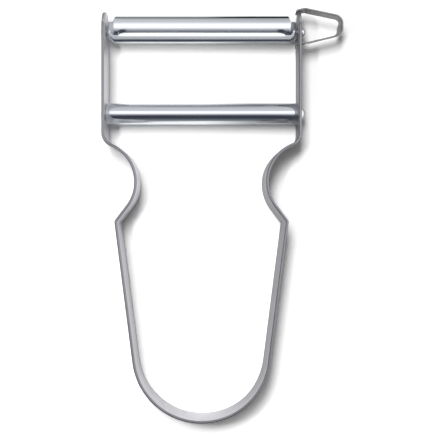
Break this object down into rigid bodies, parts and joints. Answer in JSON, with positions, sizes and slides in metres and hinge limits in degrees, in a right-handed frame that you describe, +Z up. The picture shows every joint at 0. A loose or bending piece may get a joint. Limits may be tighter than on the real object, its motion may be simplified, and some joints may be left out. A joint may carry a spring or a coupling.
{
  "type": "vegetable peeler",
  "caption": "Bow-shaped metal vegetable peeler with a slotted swivel blade, a round crossbar and a strip-loop eye remover on the right arm.",
  "frame": {"origin": "middle of the bent strip's lower edge at the heel of the handle, on the bow's plane of symmetry, where the peeler lies on a surface", "axes": "+Y from the heel to the blade, +X to the right arm with the eye remover, +Z up from the surface that the peeler lies on"},
  "size_m": [0.0671, 0.1133, 0.01],
  "materials": {
    "bow_strip": "satin, with fine grain along the strip",
    "crossbar": "polished",
    "rivet": "polished dome",
    "blade": "polished",
    "pin": "polished dome",
    "eye_strip": "satin"
  },
  "bodies": {
    "handle": {"bow": "bow_strip", "crossbar": "crossbar", "crossbar_rivet_left": "rivet", "crossbar_rivet_right": "rivet", "blade_pin_left": "pin", "blade_pin_right": "pin", "eye_remover": "eye_strip"},
    "blade": {"blade": "blade"}
  },
  "joints": [
    {"name": "blade_swivel", "type": "hinge", "parent": "handle", "child": "blade", "pos_m": [0, 0.1064, 0.005], "axis": [1, 0, 0], "range_deg": [-45, 45]}
  ]
}
